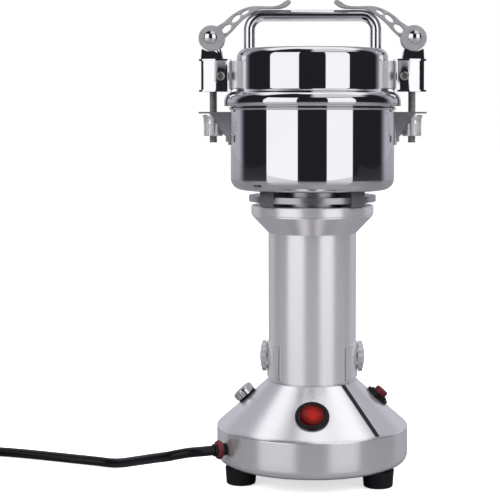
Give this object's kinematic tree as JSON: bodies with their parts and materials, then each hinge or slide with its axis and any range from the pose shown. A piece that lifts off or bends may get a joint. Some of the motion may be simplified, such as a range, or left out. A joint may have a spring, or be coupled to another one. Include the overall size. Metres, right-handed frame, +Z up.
{
  "type": "hammer mill",
  "caption": "Stand-type high-speed grinder for grain and seed: polished bowl with clamped lid and bail handle on a slim motor column with a conical base.",
  "frame": {"origin": "centre of the footprint on the floor, on the mill's vertical axis", "axes": "+Z up along the rotor axis, -Y is the front with the rocker switch, +X is the side with the reset button"},
  "size_m": [0.4133, 0.1336, 0.331],
  "materials": {
    "satin_silver": "satin silver paint, fine grain",
    "polished_steel": "mirror-polished stainless steel",
    "chrome_plate": "polished plating",
    "cast_satin": "tumbled satin casting",
    "dark_steel": "dark grey",
    "bright_steel": "turned or rolled steel",
    "zinc": "zinc-plated fastener",
    "black_plastic": "moulded",
    "black_rubber": "moulded rubber",
    "lead_pvc": "extruded sheath",
    "red_lens": "translucent red",
    "red_plastic": "moulded red",
    "collar_red": "moulded dark red",
    "seam_black": "gap seal",
    "brass": "turned brass",
    "copper": "enamelled copper wire",
    "lamination": "stacked steel sheets",
    "carbon": "pressed carbon",
    "silicone": "moulded silicone"
  },
  "bodies": {
    "frame": {"base_shell": "satin_silver", "base_plate": "zinc", "rubber_feet": "black_rubber", "base_screws": "zinc", "seam_strip": "seam_black", "switch_housing": "black_plastic", "fuse_holder": "black_plastic", "breaker_body": "black_plastic", "cord_gland": "black_plastic", "cord_collar": "collar_red", "mains_lead": "lead_pvc", "lead_coil": "lead_pvc", "mains_plug": "black_plastic", "plug_pins": "brass", "motor_housing": "satin_silver", "brush_cap_left": "cast_satin", "brush_cap_right": "cast_satin", "brush_holders": "brass", "carbon_brushes": "carbon", "stator_core": "lamination", "field_coils": "copper", "bearing_plate": "cast_satin", "ball_bearings": "bright_steel", "cooling_hub": "cast_satin", "fin_disc": "cast_satin", "mount_pillars": "dark_steel", "shaft_seal": "silicone", "bowl": "polished_steel", "bowl_screws": "zinc", "bowl_bracket_left": "chrome_plate", "bowl_bracket_right": "chrome_plate", "bracket_rivets": "bright_steel"},
    "rotor": {"rotor_shaft": "bright_steel", "armature_core": "lamination", "armature_windings": "copper", "commutator": "copper", "cooling_fan": "black_plastic", "blade_spacers": "bright_steel", "lower_blade": "bright_steel", "upper_blade": "bright_steel", "blade_nut": "zinc"},
    "rocker": {"rocker_button": "red_lens"},
    "fuse_cap": {"fuse_cap": "chrome_plate"},
    "reset_button": {"reset_button": "red_plastic"},
    "lid": {"lid_shell": "polished_steel", "lid_gasket": "silicone", "bail_handle": "chrome_plate", "latch_saddles": "chrome_plate", "latch_boxes": "chrome_plate", "latch_screws": "zinc", "cam_seats": "chrome_plate"},
    "pin_left": {"cross_pin_left": "chrome_plate"},
    "pin_right": {"cross_pin_right": "chrome_plate"},
    "lever_left": {"cam_lever_left": "cast_satin"},
    "lever_right": {"cam_lever_right": "cast_satin"},
    "bolt_left": {"eye_bolt_left": "bright_steel"},
    "bolt_right": {"eye_bolt_right": "bright_steel"},
    "nut_left": {"thumb_nut_left": "chrome_plate"},
    "nut_right": {"thumb_nut_right": "chrome_plate"}
  },
  "joints": [
    {"name": "rotor_spin", "type": "hinge", "parent": "frame", "child": "rotor", "pos_m": [0, 0, 0.12], "axis": [0, 0, 1], "continuous": true},
    {"name": "rocker_tilt", "type": "hinge", "parent": "frame", "child": "rocker", "pos_m": [0, -0.0504, 0.05161], "axis": [0, -0.7491, -0.6624], "range_deg": [0, 16]},
    {"name": "fuse_turn", "type": "hinge", "parent": "frame", "child": "fuse_cap", "pos_m": [-0.045, 0, 0.05558], "axis": [-0.6624, 0, 0.7491], "range_deg": [0, 60]},
    {"name": "reset_push", "type": "slide", "parent": "frame", "child": "reset_button", "axis": [-0.6624, 0, -0.7491], "range_m": [0, 0.003], "stiffness_N_per_m": 300},
    {"name": "lid_lift", "type": "slide", "parent": "frame", "child": "lid", "axis": [0, 0, 1], "range_m": [0, 0.12]},
    {"name": "pin_drop_left", "type": "slide", "parent": "lid", "child": "pin_left", "axis": [0, 0, -1], "range_m": [0, 0.0014]},
    {"name": "lever_left", "type": "hinge", "parent": "pin_left", "child": "lever_left", "pos_m": [-0.0701, 0, 0.305], "axis": [0, -1, 0], "range_deg": [0, 140]},
    {"name": "bolt_swing_left", "type": "hinge", "parent": "pin_left", "child": "bolt_left", "pos_m": [-0.0701, 0, 0.305], "axis": [0, 1, 0], "range_deg": [0, 24]},
    {"name": "nut_spin_left", "type": "hinge", "parent": "bolt_left", "child": "nut_left", "pos_m": [-0.06865, 0, 0.244], "axis": [0, 0, 1], "continuous": true},
    {"name": "pin_drop_right", "type": "slide", "parent": "lid", "child": "pin_right", "axis": [0, 0, -1], "range_m": [0, 0.0014]},
    {"name": "lever_right", "type": "hinge", "parent": "pin_right", "child": "lever_right", "pos_m": [0.0701, 0, 0.305], "axis": [0, 1, 0], "range_deg": [0, 140]},
    {"name": "bolt_swing_right", "type": "hinge", "parent": "pin_right", "child": "bolt_right", "pos_m": [0.0701, 0, 0.305], "axis": [0, -1, 0], "range_deg": [0, 24]},
    {"name": "nut_spin_right", "type": "hinge", "parent": "bolt_right", "child": "nut_right", "pos_m": [0.06865, 0, 0.244], "axis": [0, 0, 1], "continuous": true}
  ],
  "couplings": [
    {"joint": "pin_drop_left", "follows": "lever_left", "m_per_rad": 0.00057},
    {"joint": "pin_drop_right", "follows": "lever_right", "m_per_rad": 0.00057}
  ]
}
